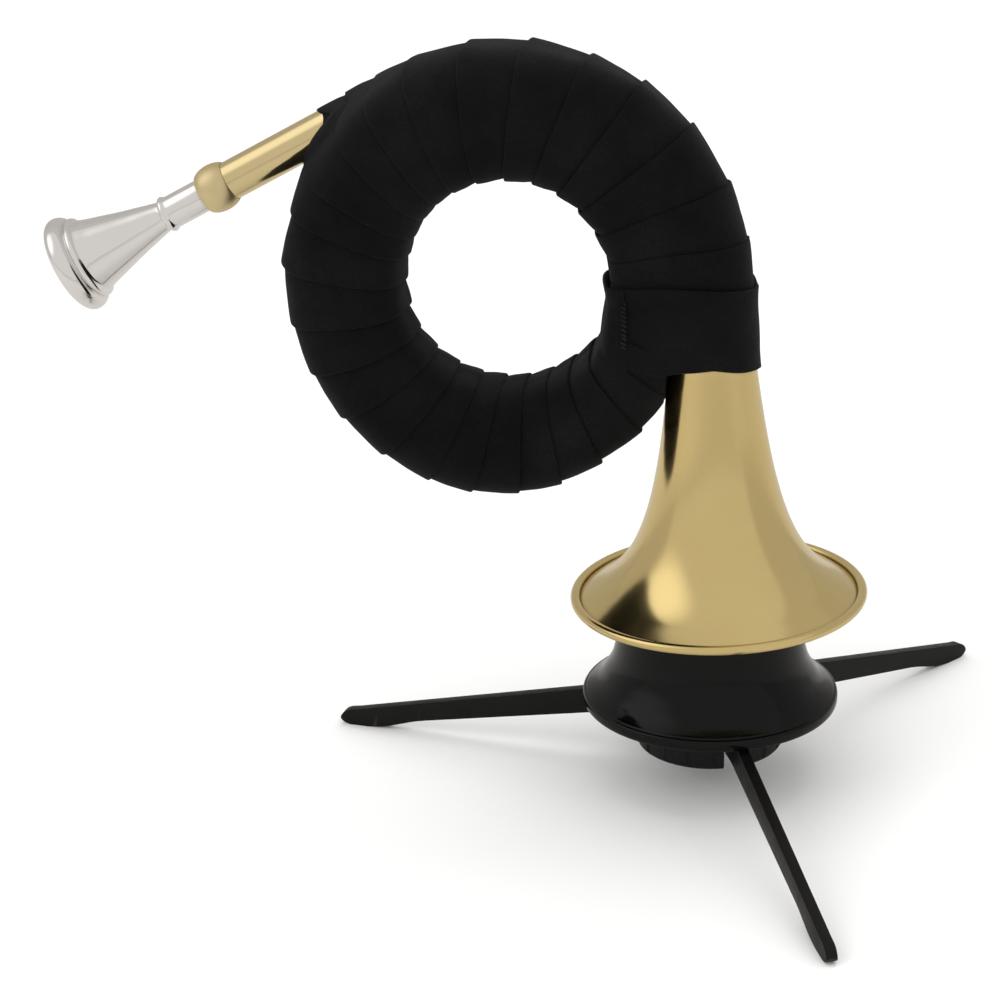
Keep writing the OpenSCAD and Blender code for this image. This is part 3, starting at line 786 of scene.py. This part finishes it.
# (radius, height): the cone's lip, its flare up to the rounded tip, and its hollow underside
CONE_LIP = [
    (30.9, 21.45), (31.3, 21.2), (LIP_R - 0.7, 21.1), (LIP_R - 0.3, 21.22),
    (LIP_R - 0.08, 21.5), (LIP_R + 0.04, 21.95), (LIP_R + 0.06, 22.6), (LIP_R + 0.04, 23.2),
    (LIP_R - 0.06, 23.65), (LIP_R - 0.25, 23.98), (LIP_R - 0.5, 24.14), (LIP_R - 0.78, 24.16),
    (LIP_R - 0.9, 24.24), (LIP_R - 1.05, 24.42)]
CONE_FLARE = [
    (LIP_R - 1.3, 24.6), (31.6, 25.05), (30.5, 25.95), (29.5, 26.9), (28.5, 28.2), (27.4, 30),
    (26.4, 31.8), (25.6, 33.8), (25.0, 36.2), (24.5, 39), (24.1, 42), (23.7, 45), (23.2, 48.5),
    (22.6, 52), (21.7, 56), (20.6, 60), (19.3, 64), (17.7, 68), (16.2, 72), (15, 76),
    (13.9, 80), (12.8, 85), (11.7, 90), (10.8, 94), (10.1, 95.8), (9.1, 97.0), (7.5, 97.8),
    (5.5, 98), (0, 98)]
CONE_HOLLOW = [
    (0, 46), (4, 46), (4, 27.8), (4.2, 27.6), (6.3, 27.6), (6.5, 27.8), (6.5, 55.2), (7.2, 56),
    (13.4, 56), (14.6, 55.6), (18, 52.5), (20, 46), (21.4, 39), (22.6, 33.5), (24.6, 29.2),
    (27.6, 25.6), (30.4, 23.1)]


def make_cone():
    profile = CONE_LIP + spline(CONE_FLARE, steps=4) + CONE_HOLLOW
    ob = lathe("bell_cone_shell", profile, segments=224, place=None, sharp_angle=32)
    dress(ob, GLOSS, "cone", "bell_cone")


LEG_REACH = 105.0               # radius of the tip
LEG_FOOT = 99.5                 # radius from which the underside is measured
LEG_TOP = 24.25
LEG_THICKNESS = 2.8
PIVOT_HOLE_R, PIVOT_HOLE_SIDES = 1.06, 28
# (radius from LEG_REACH, height) round the tip
LEG_TIP = [(-3.4, 4.5), (-2.5, 4.32), (-1.5, 3.86), (-0.6, 3.1), (-0.1, 2.3), (0, 1.6),
           (-0.4, 1.0), (-1.1, 0.5), (-2.1, 0.15), (-2.8, 0.0)]
# (radius from LEG_FOOT, height) up the underside
LEG_SOLE = [(-3.6, 0.12), (-6, 0.42), (-8.2, 0.85), (-10.2, 1.4), (-12.6, 2.15), (-15, 2.9),
            (-17.2, 3.5), (-19.5, 3.98)]
# (radius, height) from the pivot, under the root and up its inner end
LEG_ROOT = [(1.5, -3.75), (-1.2, -3.95), (-3, -3.0), (-4.1, -1.5)]
LEG_INNER_END = [(-4.5, 0), (-4.5, 2.6), (-4.2, 3.1)]


def shifted(points, radius, z=0.0):
    return [(radius + dr, z + dz) for dr, dz in points]


def straight(start, end, radii):
    """Points at the given radii on the line through two (radius, height) points."""
    slope = (end[1] - start[1]) / (end[0] - start[0])
    return [(radius, start[1] + slope * (radius - start[0])) for radius in radii]


def leg_outline(pivot_r, pivot_z):
    """Side outline of a leg as (radius from the stand's axis, height)."""
    sole = shifted(LEG_SOLE, LEG_FOOT)
    root = shifted(LEG_ROOT, pivot_r, pivot_z)
    return (shifted(LEG_INNER_END, pivot_r, pivot_z)
            + [(pivot_r - 2.6, 24.0), (pivot_r - 1.6, LEG_TOP), (pivot_r, LEG_TOP)]
            + straight((pivot_r, LEG_TOP), (LEG_REACH - 3.6, 4.45),
                       np.linspace(pivot_r + 6, LEG_REACH - 5.2, 14))
            + spline(shifted(LEG_TIP, LEG_REACH), steps=3)
            + [(LEG_FOOT - 2.3, 0.0)]
            + spline(sole, steps=3)
            + straight(sole[-1], root[0], np.linspace(LEG_FOOT - 26, pivot_r + 8, 10))
            + spline(root, steps=3))


def make_leg(name):
    """A flat blade on edge, with the pivot's hole and bevelled edges."""
    pivot = Vector(JOINTS[name + "_fold"]["pos_m"])
    angle = math.atan2(pivot.y, pivot.x)
    pivot_r, pivot_z = math.hypot(pivot.x, pivot.y) * 1000, pivot.z * 1000
    along = Vector((math.cos(angle), math.sin(angle), 0))
    across = Vector((-math.sin(angle), math.cos(angle), 0))
    hole = []
    for k in range(PIVOT_HOLE_SIDES):
        turn = 2 * math.pi * k / PIVOT_HOLE_SIDES
        hole.append((pivot_r + PIVOT_HOLE_R * math.cos(turn),
                     pivot_z + PIVOT_HOLE_R * math.sin(turn)))
    shapes = (leg_outline(pivot_r, pivot_z), hole)
    bm = bmesh.new()
    sides = []
    for sign in (-1, 1):
        offset = across * (sign * LEG_THICKNESS / 2)
        sides.append([[bm.verts.new((along * radius + offset + Vector((0, 0, z))) * MM)
                       for radius, z in shape] for shape in shapes])
    for loops in sides:
        edges = [bm.edges.new((loop[i], loop[(i + 1) % len(loop)]))
                 for loop in loops for i in range(len(loop))]
        bmesh.ops.triangle_fill(bm, use_beauty=True, use_dissolve=False, edges=edges)
    for near, far in zip(*sides):
        for i in range(len(near)):
            i2 = (i + 1) % len(near)
            bm.faces.new((near[i], near[i2], far[i2], far[i]))
    bmesh.ops.recalc_face_normals(bm, faces=bm.faces)
    mesh = bpy.data.meshes.new(name + "_blade")
    bm.to_mesh(mesh)
    bm.free()
    ob = link_object(name + "_blade", mesh)
    bevel = ob.modifiers.new("edge", "BEVEL")
    bevel.width = 0.00045
    bevel.segments = 3
    bevel.limit_method = "ANGLE"
    bevel.angle_limit = math.radians(50)
    depsgraph = bpy.context.evaluated_depsgraph_get()
    bevelled = bpy.data.meshes.new_from_object(ob.evaluated_get(depsgraph))
    ob.modifiers.clear()
    ob.data = bevelled
    shade_smooth(bevelled, sharp_angle=40)
    dress(ob, PAINT, name, name)


# ---------------------------------------------------------------- CAD nodes that are kept
KEPT_NODES = {
    "lead_bend": BRASS_PIPE, "coil_ferrules": SATIN, "coil_braces": SATIN, "bell_tail": BRASS,
    "rim_wire": TURNED, "threaded_insert": TURNED, "hub_cap": SATIN_PLASTIC,
    "cap_screws": STEEL, "leg_hub": SATIN_PLASTIC, "leg_pins": STEEL, "centre_screw": STEEL,
    "screw_washer": STEEL, **{f"coil_bend_{i}": BRASS_PIPE for i in range(1, 8)}}


# ---------------------------------------------------------------- room, lights and camera
def make_stage():
    """A floor that curves up into a back wall; sizes in metres."""
    half_width, curve_start, curve_r, wall_top = 3.0, 1.6, 0.9, 3.2
    sink = 0.00005              # keeps the floor just below the feet
    profile = [(-half_width, 0.0)]
    profile += [(y, 0.0) for y in np.linspace(-1.5, curve_start, 12)]
    profile += [(curve_start + curve_r * math.sin(a), curve_r - curve_r * math.cos(a))
                for a in np.linspace(0.1, math.pi / 2, 14)]
    profile += [(curve_start + curve_r, wall_top)]
    verts = [(x, y, z - sink) for y, z in profile for x in (-half_width, half_width)]
    faces = [(i, i + 1, i + 3, i + 2) for i in range(0, len(verts) - 2, 2)]
    mesh = bpy.data.meshes.new("studio_floor")
    mesh.from_pydata(verts, [], faces)
    shade_smooth(mesh)
    ob = link_object("studio_floor", mesh)
    mesh.materials.append(floor_paint("pale_floor"))


def make_world():
    """Pale walls to the camera; to shiny things a dimmer room with a window and a strip."""
    world = bpy.data.worlds.new("studio")
    bpy.context.scene.world = world
    world.use_nodes = True
    tree = world.node_tree
    tree.nodes.clear()
    output = tree.nodes.new("ShaderNodeOutputWorld")
    background = tree.nodes.new("ShaderNodeBackground")
    tree.links.new(background.outputs[0], output.inputs[0])
    coords = tree.nodes.new("ShaderNodeTexCoord").outputs["Generated"]

    def glow(direction, start, full):
        """0 to 1 as the view nears a direction; start and full are cosines."""
        dot = add_node(tree, "ShaderNodeVectorMath",
                       {0: coords, 1: Vector(direction).normalized()}, operation="DOT_PRODUCT")
        return map_range(tree, dot.outputs["Value"], (start, full), (0.0, 1.0),
                         interpolation_type="SMOOTHSTEP")

    window = glow((-0.12, -0.80, 0.58), start=0.27, full=0.36)      # wide, in front
    room = mix_colour(tree, window, (0.52, 0.515, 0.50), (0.67, 0.66, 0.64))
    strip = glow((-0.77, -0.16, 0.66), start=0.84, full=0.99)       # brighter, at the left
    room = mix_colour(tree, strip, room, (1.2, 1.19, 1.16))
    glossy = tree.nodes.new("ShaderNodeLightPath").outputs["Is Glossy Ray"]
    seen = mix_colour(tree, glossy, (0.92, 0.915, 0.905), room)
    set_inputs(tree, background, {"Color": seen, "Strength": 1.0})


LIGHT_TARGET = Vector((-0.03, 0, 0.09))


def area_light(name, location, size, power):
    """A rectangular light aimed at the horn and unseen in reflections."""
    light = bpy.data.lights.new(name, "AREA")
    light.shape = "RECTANGLE"
    light.size, light.size_y = size
    light.energy = power
    ob = link_object(name, light)
    ob.location = location
    ob.rotation_mode = "QUATERNION"
    ob.rotation_quaternion = (LIGHT_TARGET - Vector(location)).to_track_quat("-Z", "Y")
    ob.visible_glossy = False


def make_camera():
    yaw, pitch, roll = math.radians(-4.6339), math.radians(21.3708), math.radians(-1.2314)
    forward = Vector((math.sin(yaw) * math.cos(pitch), math.cos(yaw) * math.cos(pitch),
                      -math.sin(pitch)))
    level = forward.cross(Vector((0, 0, 1))).normalized()
    upright = level.cross(forward)
    right = level * math.cos(roll) + upright * math.sin(roll)
    up = -level * math.sin(roll) + upright * math.cos(roll)
    camera = bpy.data.cameras.new("camera")
    camera.sensor_width = 36.0
    camera.lens = 100.8
    camera.clip_start, camera.clip_end = 0.01, 20
    ob = link_object("camera", camera)
    turn = Matrix((right, up, -forward)).transposed().to_4x4()
    ob.matrix_world = Matrix.Translation((0.0, -0.6733, 0.3408)) @ turn
    bpy.context.scene.camera = ob


make_bell()
make_leadpipe()
make_ferrule()
make_mouthpiece()
make_wrap()
make_band()
make_stitches()
make_cone()
for leg in ("front_leg", "left_leg", "right_leg"):
    make_leg(leg)
for node_name, node_material in KEPT_NODES.items():
    set_material(NODES[node_name], node_material)

make_stage()
make_world()
area_light("key", location=(-0.75, -0.6, 0.75), size=(0.6, 0.8), power=3.2)
area_light("fill", location=(0.95, -0.6, 0.5), size=(0.6, 0.9), power=1.6)
area_light("top", location=(0.0, 0.2, 1.3), size=(1.2, 1.2), power=5.0)
area_light("back", location=(0.2, 1.2, 0.7), size=(1.4, 0.8), power=3.0)
make_camera()
view = bpy.context.scene.view_settings
view.view_transform = "Standard"
view.look = "None"

bpy.context.view_layer.update()
